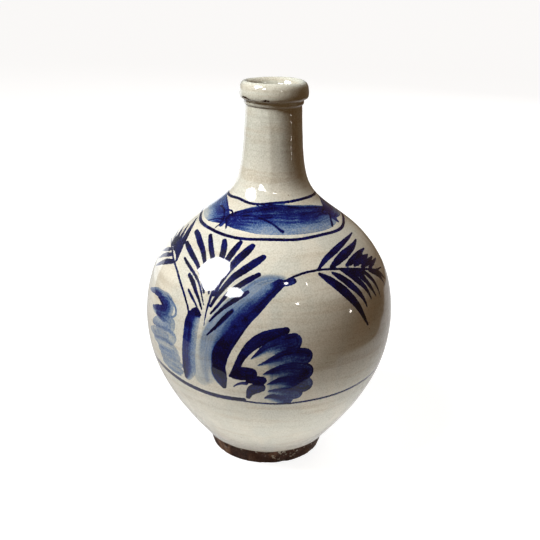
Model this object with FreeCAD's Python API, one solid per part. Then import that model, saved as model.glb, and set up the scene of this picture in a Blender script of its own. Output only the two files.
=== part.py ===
"""A wheel-thrown stoneware bottle vase, built as a potter builds it.

Two thrown halves, a neck, a rolled mouth collar and a foot ring are luted together with
clay slip, then the outside is coated with glaze down to the foot line and the inside is
lined with glaze. Every piece is a solid of revolution about Z. Millimetres, +Z up, and
the origin is on the resting plane at the centre of the foot.
"""

import FreeCAD
import Part
import os

# ---------------------------------------------------------------- driving dimensions
HEIGHT = 300.0            # resting plane to the crest of the mouth collar
OUTER_GLAZE = 0.6         # thickness of the glaze coat outside
INNER_GLAZE = 0.5         # thickness of the glaze lining inside
SLIP = 0.8                # thickness of the fired slip in each luted joint

BORE_RADIUS = 17.0        # glazed bore of the neck and the mouth, where a stopper goes
BORE_BOTTOM = 244.0       # height where the bore opens out into the shoulder
BORE_TOP = 288.0          # height where the bore opens out into the mouth

FOOT_HEIGHT = 13.0        # bare band below the glaze line
FOOT_RADIUS = 45.4        # outer radius just over the resting plane
FOOT_TOP_RADIUS = 49.2    # outer radius of the bare clay at the glaze line
FOOT_ROUND = 1.2          # worn roundings along the foot ring's two bottom edges
RECESS_RADIUS = 35.0      # hollow under the vase, inside the foot ring
RECESS_DEPTH = 7.0

FLOOR_TOP = 15.0          # inside floor of the clay
FLOOR_FLAT_RADIUS = 22.0  # where the inside floor begins to rise
FLOOR_RISE = (45.0, 22.5) # a point on the clay where the rising floor becomes the wall

NECK_RADIUS = 21.5        # glazed neck just under the collar
NECK_TOP = 282.5          # where the collar begins to swell

# The glazed belly and shoulder as (radius, height, clay wall behind), from low to high.
BELLY = [
    (71.1, 40.0, 7.6), (88.2, 70.0, 6.8), (97.3, 100.0, 6.2), (98.0, 130.0, 6.0),
    (92.2, 155.0, 5.8), (80.5, 175.0, 5.6), (65.9, 190.0, 5.4), (52.6, 200.0, 5.2),
    (39.4, 210.0, 5.0), (29.5, 222.0, 5.0), (25.7, 233.0, 5.2),
]
# The glazed neck over the bore as (radius, height), ending where the collar begins.
NECK = [(23.9, 244.0), (22.5, 262.0), (NECK_RADIUS, NECK_TOP)]

# The glazed rolled collar with the small bead under it, as (radius, height) from the
# neck over the crest and down inside to the bore.
COLLAR_POINTS = [
    (NECK_RADIUS, NECK_TOP), (22.8, 284.8), (22.9, 286.4), (25.0, 287.4), (26.2, 290.2),
    (26.0, 294.2), (24.9, 298.0), (22.6, HEIGHT), (20.2, 298.8), (18.4, 295.6),
    (17.3, 291.6), (BORE_RADIUS, BORE_TOP),
]

# The luted joints, each as the two points where its lower face meets the hollow's side
# and the outside. They cross the wall nearly squarely, so that the sections nest.
FOOT_JOINT = ((34.0, 6.0), (50.0, 12.0))
BELLY_JOINT = ((91.0, 108.0), (98.0, 112.0))
NECK_JOINT = ((35.0, 203.0), (39.0, 209.0))
COLLAR_JOINT = ((17.5, 284.0), (21.0, 282.0))

AXIS_POINT = FreeCAD.Vector(0, 0, 0)
AXIS = FreeCAD.Vector(0, 0, 1)
FULL_TURN = 360.0
FAR = 200.0               # a radius beyond the whole vase
OVER = 1000.0             # a height beyond the whole vase and every joint's line


# ---------------------------------------------------------------- outline helpers
def at(point):
    """A (radius, height) pair as a vector in the XZ plane."""
    return FreeCAD.Vector(point[0], 0, point[1])


def line(start, end):
    return Part.makeLine(at(start), at(end))


def arc(start, middle, end):
    return Part.Arc(at(start), at(middle), at(end)).toShape()


def smooth(points):
    """A smooth curve through points."""
    curve = Part.BSplineCurve()
    curve.interpolate(Points=[at(point) for point in points])
    return curve


def shifted(curve, points, distances):
    """Points of a curve, each moved off it to the left of its run by its distance."""
    moved = []
    for point, distance in zip(points, distances):
        run = curve.tangent(curve.parameter(at(point)))[0]
        moved.append((point[0] - run.z * distance, point[1] + run.x * distance))
    return moved


def filled(edges):
    """The flat face inside a closed run of edges."""
    return Part.Face(Part.Wire(Part.__sortEdges__(edges)))


def polygon(corners):
    """The flat face inside straight lines from corner to corner."""
    return filled([line(a, b) for a, b in zip(corners, corners[1:] + corners[:1])])


def turned(face):
    """The solid that a face in the XZ plane sweeps about Z."""
    solids = face.revolve(AXIS_POINT, AXIS, FULL_TURN).Solids
    if len(solids) != 1 or not solids[0].isValid():
        raise ValueError("a section didn't turn into one valid solid")
    return solids[0]


# ---------------------------------------------------------------- the outlines
FOOT_LINE = (FOOT_TOP_RADIUS + OUTER_GLAZE, FOOT_HEIGHT)
BELLY_POINTS = [(radius, height) for radius, height, wall in BELLY]
BODY_POINTS = [FOOT_LINE] + BELLY_POINTS + NECK
BODY = smooth(BODY_POINTS)
COLLAR = smooth(COLLAR_POINTS)

# The clay under the outer glaze.
CLAY_BORE = BORE_RADIUS + INNER_GLAZE
CLAY_FOOT_LINE = (FOOT_TOP_RADIUS, FOOT_HEIGHT)
CLAY_NECK_TOP = (NECK_RADIUS - OUTER_GLAZE, NECK_TOP)
CLAY_BORE_TOP = (CLAY_BORE, BORE_TOP)
UNDER_BODY = shifted(BODY, BODY_POINTS, [OUTER_GLAZE] * len(BODY_POINTS))
UNDER_COLLAR = shifted(COLLAR, COLLAR_POINTS, [OUTER_GLAZE] * len(COLLAR_POINTS))
CLAY_BODY = smooth([CLAY_FOOT_LINE] + UNDER_BODY[1:-1] + [CLAY_NECK_TOP])
CLAY_COLLAR = smooth([CLAY_NECK_TOP] + UNDER_COLLAR[1:-1] + [CLAY_BORE_TOP])

# The clay round the hollow, from the edge of the flat floor to the foot of the bore.
HOLLOW_POINTS = (
    [(FLOOR_FLAT_RADIUS, FLOOR_TOP), FLOOR_RISE]
    + shifted(BODY, BELLY_POINTS, [OUTER_GLAZE + wall for radius, height, wall in BELLY])
    + [(CLAY_BORE, BORE_BOTTOM)]
)
HOLLOW = smooth(HOLLOW_POINTS)

# The glaze lining's own surface, facing the hollow.
LINING_FLOOR = FLOOR_TOP + INNER_GLAZE
LINING = smooth(
    [(FLOOR_FLAT_RADIUS, LINING_FLOOR)]
    + shifted(HOLLOW, HOLLOW_POINTS, [INNER_GLAZE] * len(HOLLOW_POINTS))[1:-1]
    + [(BORE_RADIUS, BORE_BOTTOM)]
)


def foot_edges():
    """The bare foot's outline from the glaze line down, under and up into the recess."""
    low = FOOT_ROUND
    bulge = FOOT_ROUND * (1.0 - 0.5 ** 0.5)
    outer_low = (FOOT_RADIUS, low)
    outer_in = (FOOT_RADIUS - low, 0.0)
    inner_out = (RECESS_RADIUS + low, 0.0)
    inner_low = (RECESS_RADIUS, low)
    recess_corner = (RECESS_RADIUS, RECESS_DEPTH)
    return [
        line(CLAY_FOOT_LINE, outer_low),
        arc(outer_low, (FOOT_RADIUS - bulge, bulge), outer_in),
        line(outer_in, inner_out),
        arc(inner_out, (RECESS_RADIUS + bulge, bulge), inner_low),
        line(inner_low, recess_corner),
        line(recess_corner, (0.0, RECESS_DEPTH)),
    ]


# ---------------------------------------------------------------- the pieces
def clay_face():
    """The cross-section of all the clay, before it is parted into sections."""
    return filled(
        foot_edges()
        + [
            CLAY_BODY.toShape(),
            CLAY_COLLAR.toShape(),
            line(CLAY_BORE_TOP, (CLAY_BORE, BORE_BOTTOM)),
            HOLLOW.toShape(),
            line((FLOOR_FLAT_RADIUS, FLOOR_TOP), (0.0, FLOOR_TOP)),
            line((0.0, FLOOR_TOP), (0.0, RECESS_DEPTH)),
        ]
    )


def joint_line(joint, lift=0.0):
    """A joint's line drawn out past the vase, lifted squarely off itself."""
    (r0, z0), (r1, z1) = joint
    slope = (z1 - z0) / (r1 - r0)
    rise = lift * (1.0 + slope * slope) ** 0.5
    return [(radius, z0 + slope * (radius - r0) + rise) for radius in (0.0, FAR)]


def above(edge):
    """Everything over a line that runs outwards."""
    return polygon(edge + [(FAR, OVER), (0.0, OVER)])


def below(edge):
    """Everything under a line that runs outwards."""
    return polygon(edge + [(FAR, -OVER), (0.0, -OVER)])


def one_stretch(section):
    """The single face that a cut has left of the clay's cross-section."""
    if len(section.Faces) != 1:
        raise ValueError(f"a cut leaves {len(section.Faces)} stretches of clay")
    return section.Faces[0]


def clay_sections():
    """The cross-sections of the clay's parts and of the slip between them."""
    names = ["foot_ring", "lower_body", "upper_body", "neck", "mouth_collar"]
    joints = {
        "foot_slip": FOOT_JOINT,
        "belly_slip": BELLY_JOINT,
        "neck_slip": NECK_JOINT,
        "collar_slip": COLLAR_JOINT,
    }
    sections = {}
    rest = clay_face()
    for name, (slip, joint) in zip(names, joints.items()):
        foot_of_slip = joint_line(joint)
        top_of_slip = joint_line(joint, SLIP)
        sections[name] = one_stretch(rest.common(below(foot_of_slip)))
        rest = one_stretch(rest.common(above(foot_of_slip)))
        sections[slip] = one_stretch(rest.common(below(top_of_slip)))
        rest = one_stretch(rest.common(above(top_of_slip)))
    sections[names[-1]] = rest
    return sections


def outer_glaze_face():
    """The glaze coat from the foot line over the crest and down to the bore."""
    return filled(
        [
            BODY.toShape(),
            COLLAR.toShape(),
            line((BORE_RADIUS, BORE_TOP), CLAY_BORE_TOP),
            CLAY_COLLAR.toShape(),
            CLAY_BODY.toShape(),
            line(CLAY_FOOT_LINE, FOOT_LINE),
        ]
    )


def inner_glaze_face():
    """The glaze lining: floor, hollow and bore, up to where the outer glaze ends."""
    return filled(
        [
            line((0.0, FLOOR_TOP), (FLOOR_FLAT_RADIUS, FLOOR_TOP)),
            HOLLOW.toShape(),
            line((CLAY_BORE, BORE_BOTTOM), CLAY_BORE_TOP),
            line(CLAY_BORE_TOP, (BORE_RADIUS, BORE_TOP)),
            line((BORE_RADIUS, BORE_TOP), (BORE_RADIUS, BORE_BOTTOM)),
            LINING.toShape(),
            line((FLOOR_FLAT_RADIUS, LINING_FLOOR), (0.0, LINING_FLOOR)),
            line((0.0, LINING_FLOOR), (0.0, FLOOR_TOP)),
        ]
    )


def pieces():
    """Every node's name with its solid."""
    made = {name: turned(section) for name, section in clay_sections().items()}
    made["outer_glaze"] = turned(outer_glaze_face())
    made["inner_glaze"] = turned(inner_glaze_face())
    return made


os.makedirs("parts", exist_ok=True)
for node, solid in pieces().items():
    solid.exportStep(f"parts/{node}.step")
    box = solid.BoundBox
    print(f"{node}: {solid.Volume / 1000:.2f} cm3, z {box.ZMin:.2f} to {box.ZMax:.2f}")
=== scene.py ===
"""Looks of the glazed bottle vase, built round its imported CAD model.

The glaze, its lining and the bare foot are turned again from their CAD outlines as closed
shells. The cobalt painting is a set of brush strokes laid on the glaze by angle and height,
and kept on its vertices as numbers that the glaze material reads. Angles are degrees round
+Z from the front, -Y, and positive to the right. Everything else is in millimetres until a
mesh is made, apart from the stage, which is in metres.
"""

import math
from collections import defaultdict, namedtuple

import bpy
import numpy as np
from mathutils import Matrix, Vector


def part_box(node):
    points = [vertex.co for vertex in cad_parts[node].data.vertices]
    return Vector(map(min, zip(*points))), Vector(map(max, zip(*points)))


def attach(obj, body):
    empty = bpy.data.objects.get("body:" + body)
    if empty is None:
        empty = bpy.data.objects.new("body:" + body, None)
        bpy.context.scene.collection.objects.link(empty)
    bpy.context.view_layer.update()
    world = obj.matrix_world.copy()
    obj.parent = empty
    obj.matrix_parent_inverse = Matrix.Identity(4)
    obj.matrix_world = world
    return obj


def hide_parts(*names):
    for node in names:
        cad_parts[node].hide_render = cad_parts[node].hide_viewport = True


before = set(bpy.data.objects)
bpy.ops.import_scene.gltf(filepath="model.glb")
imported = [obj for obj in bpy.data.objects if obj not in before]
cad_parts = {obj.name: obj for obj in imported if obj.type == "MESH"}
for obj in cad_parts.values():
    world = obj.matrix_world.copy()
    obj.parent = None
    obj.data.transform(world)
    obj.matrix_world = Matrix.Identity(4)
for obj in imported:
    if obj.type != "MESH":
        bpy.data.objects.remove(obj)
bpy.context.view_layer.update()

MM = 0.001
BORE_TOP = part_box("inner_glaze")[1].z / MM       # where the two glaze coats meet


# =========================================== helpers
LATTICE = np.random.default_rng(7).uniform(-1, 1, (256, 256))


def noise(x, y):
    """Smooth noise from -1 to 1, with features one unit wide, that repeats every 256."""
    x, y = np.broadcast_arrays(x, y)
    i, j = np.floor(x).astype(int), np.floor(y).astype(int)
    u, v = x - i, y - j
    u, v = u * u * (3 - 2 * u), v * v * (3 - 2 * v)

    def corner(a, b):
        return LATTICE[(i + a) % 256, (j + b) % 256]

    low = corner(0, 0) * (1 - u) + corner(1, 0) * u
    high = corner(0, 1) * (1 - u) + corner(1, 1) * u
    return low * (1 - v) + high * v


def smooth(value, low, high):
    """0 below low and 1 above high, easing between them."""
    t = np.clip((value - low) / (high - low), 0, 1)
    return t * t * (3 - 2 * t)


def link(name, data):
    """A new object in the scene."""
    thing = bpy.data.objects.new(name, data)
    bpy.context.scene.collection.objects.link(thing)
    return thing


def grid_faces(rows, columns, closed=True):
    """Faces over rows of points. Where closed, each row's end meets its start."""
    return [(r * columns + c, r * columns + (c + 1) % columns,
             (r + 1) * columns + (c + 1) % columns, (r + 1) * columns + c)
            for r in range(rows - 1) for c in range(columns if closed else columns - 1)]


def circle(sides):
    """Angles evenly round a circle, in radians."""
    return np.linspace(0, 2 * math.pi, sides, endpoint=False)


def run_of(points):
    """How far along its own chords each point of a line lies."""
    steps = np.linalg.norm(np.diff(points, axis=0), axis=1)
    return np.concatenate([[0.0], np.cumsum(steps)])


def cubic(t, y, at):
    """The natural cubic spline through y at t, read at the given places."""
    h = np.diff(t)
    slope = np.diff(y, axis=0) / h[:, None]
    system = np.eye(len(t))
    right = np.zeros_like(y)
    for i in range(1, len(t) - 1):
        system[i, i - 1:i + 2] = h[i - 1], 2 * (h[i - 1] + h[i]), h[i]
        right[i] = 6 * (slope[i] - slope[i - 1])
    bend = np.linalg.solve(system, right)
    k = np.clip(np.searchsorted(t, at, side="right") - 1, 0, len(t) - 2)
    a = ((t[k + 1] - at) / h[k])[:, None]
    b = 1 - a
    pull = h[k][:, None] ** 2 / 6
    return a * y[k] + b * y[k + 1] + pull * ((a ** 3 - a) * bend[k] + (b ** 3 - b) * bend[k + 1])


def evenly(points, spacing):
    """Evenly spaced points on the smooth curve through a line's points."""
    run = run_of(points)
    return cubic(run, points, np.linspace(0, run[-1], int(run[-1] / spacing) + 1))


# ============================= outlines from the CAD
def section(node, start, toward):
    """A CAD node's outline on its seam, as points of radius and height.

    start and toward score a radius and height: the walk begins at the point with the
    highest start, and leaves it for the neighbour with the highest toward.
    """
    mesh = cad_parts[node].data
    co = np.array([v.co for v in mesh.vertices]) / MM
    seam = (np.abs(co[:, 1]) < 0.001) & (co[:, 0] > -0.001)
    keys = {i: (round(co[i, 0], 3), round(co[i, 2], 3)) for i in np.flatnonzero(seam)}
    beside = defaultdict(set)
    for edge in mesh.edges:
        a, b = (keys.get(i) for i in edge.vertices)
        if a is not None and b is not None and a != b:
            beside[a].add(b)
            beside[b].add(a)
    first = max(beside, key=lambda p: start(*p))
    walk = [first, max(beside[first], key=lambda p: toward(*p))]
    while True:
        onward = [p for p in beside[walk[-1]] if p not in walk]
        if not onward:
            return np.array(walk)
        walk.append(min(onward, key=lambda p: math.dist(p, walk[-1])))


ROW = 0.85               # spacing of the glaze's rows
COLLAR_ROW = 0.5         # and of its rows on the rolled mouth


def glaze_outline():
    """The outer glaze from the foot line, over the crest and down to the bore."""
    points = section("outer_glaze", lambda r, z: r - 100 * z, lambda r, z: z)
    crest = int(np.argmax(points[:, 1]))
    neck_end = int(np.argmin(points[:crest, 0]))
    bore = crest + int(np.argmin(np.abs(points[crest:, 1] - BORE_TOP)))
    body = evenly(points[:neck_end + 1], ROW)
    collar = evenly(points[neck_end:bore + 1], COLLAR_ROW)
    return np.concatenate([body, collar[1:]]), len(body) - 1


OUTLINE, NECK_END = glaze_outline()
RUN = run_of(OUTLINE)
COLUMNS = 900
ANGLES = np.arange(COLUMNS) * 360 / COLUMNS - 180


def run_at(height):
    """How far up the outline, from the foot line, a height below the collar is."""
    return np.interp(height, OUTLINE[:NECK_END, 1], RUN[:NECK_END])


def row_at(height):
    """The glaze's first row at or over a height below the collar."""
    return int(np.searchsorted(OUTLINE[:NECK_END, 1], height))


# ========================================== painting
# A stroke's points are (angle, height), with a width of their own as a third number or one
# width for all. Its ink runs from the first strength to the second over its lead, a share of
# its length. side is the share of that ink at its left and right, and streak its brush hairs.
FLAT = ((0, 1), (1, 1))
Stroke = namedtuple("Stroke", "points width taper ink side lead streak",
                    defaults=(3.0, FLAT, (0.97, 0.97), (1, 1), 0.01, 0.12))
BLADE = ((0, 0.72), (0.12, 0.95), (0.3, 1), (0.6, 0.7), (1, 0.35))     # blunt tip to root
LEAF = ((0, 0.35), (0.15, 0.8), (0.4, 1), (0.7, 0.7), (1, 0.2))        # root to thin tip
LINE = ((0, 0.8), (0.3, 1), (0.8, 0.9), (1, 0.6))


def band(points, *style):
    """A stroke whose points have widths of their own."""
    return Stroke(points, 1, FLAT, *style)


def ribbon(*edges):
    """Points down the middle of a band, from (angle, upper height, lower height)."""
    return [(a, (up + low) / 2, run_at(up) - run_at(low)) for a, up, low in edges]


RINGS = [
    Stroke([(-180, 195.5), (-150, 196), (-115, 197.5), (-85, 198.4), (-70, 196.8), (-50, 195.6),
            (-20, 194.3), (0, 195.1), (15, 194.8), (40, 195.5), (65, 195.4), (80, 197),
            (115, 196.5), (150, 195), (180, 195.5)], 2.6),
    Stroke([(-180, 215), (-140, 215.6), (-100, 216), (-65, 215), (-45, 215.3), (-25, 213.9),
            (0, 215), (20, 215.8), (50, 216.5), (80, 216), (130, 215.2), (180, 215)], 2.2),
    Stroke([(-170, 84.5), (-130, 87), (-90, 89.5), (-60, 88.5), (-50, 87), (-40, 84.8),
            (-30, 83.2), (-20, 82.6), (-10.5, 83)], 4.2, ((0, 0.4), (0.5, 1), (1, 0.9)), (0.9, 0.97)),
    Stroke([(-12, 82), (-5, 81.2), (5, 80.6), (15, 81), (25, 81.6), (35, 82.2), (55, 83.8),
            (80, 86), (110, 86.5), (140, 84.5), (170, 83.5), (192, 84.5)], 2.1, LINE, (0.85, 0.95)),
]

# The band between the two upper rings: three broad leaves that meet at knots.
BAND_LEAVES = [
    band(ribbon((-39, 206.5, 200.5), (-33, 207.5, 199), (-25, 210, 198.4), (-15, 212, 197.6),
                (-5, 213.2, 197), (5, 213.8, 197), (15, 213.3, 197), (25, 212.6, 197),
                (40, 211.8, 197), (50, 211, 197.2), (60, 209.8, 198), (68, 208.5, 199)),
         (0.97, 0.92), (1, 0.46), 0.35, 0.3),
    band(ribbon((-48, 206.5, 199.5), (-60, 210, 198.5), (-75, 213, 199), (-95, 213.5, 200),
                (-115, 212.5, 200), (-135, 210.5, 200), (-150, 208, 201)),
         (0.9, 0.85), (0.3, 0.95), 0.25, 0.35),
    band(ribbon((74, 208, 200), (85, 211, 199), (105, 213, 198), (130, 213.5, 198),
                (150, 212, 198.5), (168, 210, 199), (184, 208, 200.5), (196, 206, 202)),
         (0.9, 0.85), (0.9, 0.3), 0.25, 0.35),
]
BAND_LINES = [
    Stroke([(-38, 205), (-30, 206), (-20, 207), (-12, 206.3), (-5, 205), (0, 203.6), (4, 202),
            (7, 200.2), (9, 199.2)], 2.1, ((0, 0.8), (0.6, 0.9), (0.9, 0.9), (1, 1.4))),
    Stroke([(-38, 207), (-25, 210.2), (-12, 212.3), (5, 213.6), (25, 212.6), (45, 211.4),
            (60, 209.8), (70, 208.2)], 3.4, LINE, (1, 0.85), (0.5, 1), 0.1, 0.3),
    Stroke([(-67, 207.8), (-60, 207.5), (-53, 206.3), (-49, 204.5), (-46, 202.5), (-45, 199.5),
            (-46, 197)], 2.0, LINE),
    Stroke([(-52, 206.8), (-48, 207.6), (-44, 207.5), (-41, 206.6), (-39, 205)], 1.6, LINE),
    Stroke([(-60, 198.8), (-56, 200.5), (-50, 201.8), (-46, 201.9)], 1.8, LINE),
    Stroke([(-43, 204.5), (-41, 202), (-38, 199.5), (-36.5, 198)], 1.8, LINE),
    Stroke([(-47, 203), (-44, 201), (-43, 199)], 5.5, LINE, (0.95, 0.8)),
    Stroke([(45, 205), (52, 205.3), (58, 205.5), (63, 204.5)], 3.0, ((0, 0.2), (0.7, 1), (1, 1))),
    Stroke([(60, 206), (70, 207.5), (78, 209)], 2.4, LINE),
    Stroke([(56, 198), (60, 200), (63, 201.5), (67, 202.5)], 2.4, LINE),
    Stroke([(69, 206.5), (68.5, 203), (68.5, 199)], 6.5, LINE, (0.95, 0.8)),
    Stroke([(-150, 205), (-128, 207.5), (-108, 206), (-92, 202)], 2.0, LINE),
    Stroke([(82, 204), (102, 206.5), (124, 205.5), (140, 202)], 2.0, LINE),
    Stroke([(-160, 207), (-164, 204), (-163, 200)], 6.0, LINE, (0.95, 0.8)),
]

STALK = Stroke([(-26.5, 165), (-27.2, 157), (-28, 148), (-28.3, 138)], 2.0, BLADE, (0.8, 0.9))
FROND = [Stroke(points, 1.2 * width, BLADE) for width, points in (
    (4.3, [(-31.6, 191.7), (-30, 189.5), (-28.4, 185.5), (-27.6, 178), (-27.4, 163)]),
    (4.4, [(-20, 192), (-21.4, 189), (-23, 185), (-24.6, 179), (-26.3, 165)]),
    (5.4, [(-11.6, 191), (-14, 188), (-17, 184.3), (-19.5, 180.3), (-23.3, 171), (-25.6, 160)]),
    (5.2, [(-4, 185.3), (-8, 182.2), (-13, 177.8), (-18, 172.5), (-21.7, 165.5), (-24.8, 157.5),
           (-26.2, 152.5)]),
    (3.7, [(-5.5, 175.5), (-9, 173), (-14, 168.5), (-18.5, 163), (-23, 153.5), (-25.8, 147.5)]),
    (3.2, [(-10, 164.7), (-14, 160.5), (-19, 154.5), (-23, 148), (-26, 142)]),
    (3.0, [(-16, 151.8), (-18.5, 147.5), (-22, 140.5), (-26.5, 132)]),
    (3.6, [(-45, 192.5), (-40, 188.5), (-36, 184.5), (-33, 181), (-30, 172), (-28.5, 160)]),
    (4.2, [(-61, 191.5), (-55, 190), (-48, 187), (-42, 183.5), (-37, 178), (-34, 174),
           (-30, 163)]),
    (3.7, [(-60, 184), (-54, 182), (-47, 179), (-41, 175.5), (-37, 171.5), (-31, 160)]),
    (2.2, [(-52, 176), (-46, 173), (-40, 169.5), (-35, 164.5), (-31.5, 157), (-29.8, 152)]),
    (3.2, [(-43, 168), (-39, 164.5), (-35, 158.5), (-32, 153), (-30.5, 149)]),
    (2.0, [(-40, 159), (-36, 154), (-33, 149.5), (-31.3, 146)]),
)]
LEFT_STEM = Stroke([(-37, 143), (-37.5, 146), (-39, 150), (-43, 157), (-48, 163), (-53, 167.5),
                    (-58, 170.5), (-63, 173), (-68, 175.3), (-75, 177), (-85, 178)], 2.0, LINE)
LEFT_SPRAY = [Stroke(points, 1.25 * width, LEAF) for width, points in (
    (5.8, [(-57.5, 172.5), (-62, 180), (-67, 187), (-73, 192), (-80, 196)]),
    (4.2, [(-62, 175.5), (-68, 181), (-74, 187), (-80, 191)]),
    (4.2, [(-66, 176.5), (-73, 181), (-80, 185.5), (-86, 188)]),
    (3.6, [(-72, 177.5), (-80, 181), (-87, 184)]),
    (4.2, [(-58, 171), (-65, 168.5), (-71, 165), (-76, 161), (-79, 158.5)]),
    (3.4, [(-64, 173.5), (-71, 171), (-78, 166.5), (-83, 162)]),
    (3.2, [(-70, 175), (-77, 172.5), (-84, 168)]),
)]

TRUNK = [
    Stroke([(-33.4, 144.5), (-34.5, 139), (-35, 132), (-35.4, 122), (-35.9, 110), (-36.5, 99),
            (-38, 92.5)],
           12.8, ((0, 0.75), (0.1, 1), (0.85, 1), (1, 0.5)), (0.97, 0.93), (0.3, 1), 0.05, 0.2),
    Stroke([(-36.4, 144.3), (-33.5, 145.3), (-30.6, 144.9)], 2.8, LINE, (1, 1)),
    band([(5, 170.5, 7), (-1.5, 164, 11), (-7.2, 156.5, 15), (-12.0, 149, 17), (-15.4, 141, 18),
          (-18.4, 132, 18), (-21, 123, 18), (-22, 114, 16), (-22, 106, 13.5), (-20.8, 99, 10),
          (-19, 94, 4)], (0.9, 0.99), (1, 0.05), 0.1, 0.18),
    band([(-13.3, 140, 6), (-17.8, 130, 8.5), (-20.5, 120, 11), (-21, 110, 11), (-20.7, 103, 11.5),
          (-19.7, 97, 7.5), (-19, 92.7, 3.5)], (0.85, 0.97), (1, 1), 0.3),
    Stroke([(12, 171.8), (7, 170.5), (2, 167.5)], 5.0, BLADE, (0.97, 0.8)),
]
RIGHT_STEM = Stroke([(4, 170.5), (9, 173), (15, 175.5), (22, 176.8), (29, 176.8), (36, 175.8),
                     (44, 174), (52, 171.5), (60, 168.5), (68, 165), (76, 163)], 1.9, LINE)
RIGHT_SPRAY = [Stroke(points, 1.3 * width, LEAF) for width, points in (
    (4.0, [(26, 177.5), (32, 182), (40, 185.3), (50, 188), (60, 189.5), (71, 190.3)]),
    (5.5, [(34, 177.5), (40, 180), (47, 182.3), (55, 184), (62, 185.3), (68, 186.5)]),
    (4.6, [(44, 176), (50, 177.5), (57, 179), (63, 179.8), (69, 180)]),
    (5.0, [(50, 174.5), (56, 176), (62, 176), (68, 176)]),
    (4.0, [(55, 172), (62, 172.5), (72, 173)]),
    (3.0, [(61, 169), (68, 170), (76, 170)]),
    (6.0, [(26, 174.5), (31, 169.5), (36, 163), (40, 156), (44, 147), (46.5, 139), (48.5, 133)]),
    (4.8, [(33.5, 174), (38.5, 169), (43, 162.5), (46.5, 156), (48.5, 150), (49.3, 146)]),
    (4.6, [(39.5, 174.5), (44, 170.5), (48.5, 164), (51.5, 158), (53.5, 150)]),
    (4.2, [(45, 173.5), (50, 169.5), (53.5, 163), (56, 156), (58, 150)]),
    (3.2, [(51, 171.5), (56, 167), (59.5, 160.5), (61.5, 153), (62, 147)]),
    (3.4, [(59.5, 167.6), (65, 163.5), (69, 158), (71.5, 151)]),
    (3.0, [(66, 165), (71, 160), (75, 154)]),
)]

# The bush: a tall arc, then lobes that are dark at their outer end and upper edge.
BUSH = [band(points, (ink, 0.95), (0.06, 1), 0.75, 0.3) for ink, points in (
    (0.97, [(10.3, 132, 13), (5, 130, 12.5), (0, 127, 9), (-4, 122.5, 4.5), (-6.8, 119, 1.2)]),
    (0.98, [(15, 120.5, 13), (9, 121, 12.5), (4, 118.8, 9), (0, 116.5, 5), (-4, 114, 1.2)]),
    (0.98, [(15.4, 108.3, 14), (9.5, 110, 13), (4, 109, 9), (0, 107.5, 4.5), (-1.8, 107, 1.2)]),
    (0.96, [(15.8, 97.2, 13.5), (10, 100, 12), (5, 100.5, 8), (2, 99.5, 4), (0, 98.5, 1.2)]),
    (0.9, [(12.4, 89.7, 10.5), (8, 91.5, 9), (4, 92.5, 5.5), (1, 92.5, 2.5)]),
    (0.85, [(9, 84.6, 8.5), (5, 85.8, 7.5), (1.5, 86.8, 6), (-0.5, 86, 2.5)]),
)] + [
    band([(-16, 103, 2), (-14.5, 106, 4), (-11.8, 116, 5.5), (-8.3, 126, 7.5), (-3.5, 133.5, 9),
          (2.5, 138, 7.5), (7.5, 140.3, 5)]),
    band([(-14, 104, 6), (-10.5, 106.3, 11), (-7, 107, 9.5)]),
    Stroke([(-7, 102.3), (-2.2, 102)], 7.5, ((0, 1), (1, 0.9))),
    band([(-3, 95.5, 8), (-5.5, 94, 9), (-7.6, 89.5, 5), (-8.2, 86, 3.5)]),
    Stroke([(-9, 98.5), (-12, 97.5), (-14.5, 94.5)], 3.2, ((0, 1), (1, 0.3)), (0.95, 0.8)),
]

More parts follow.
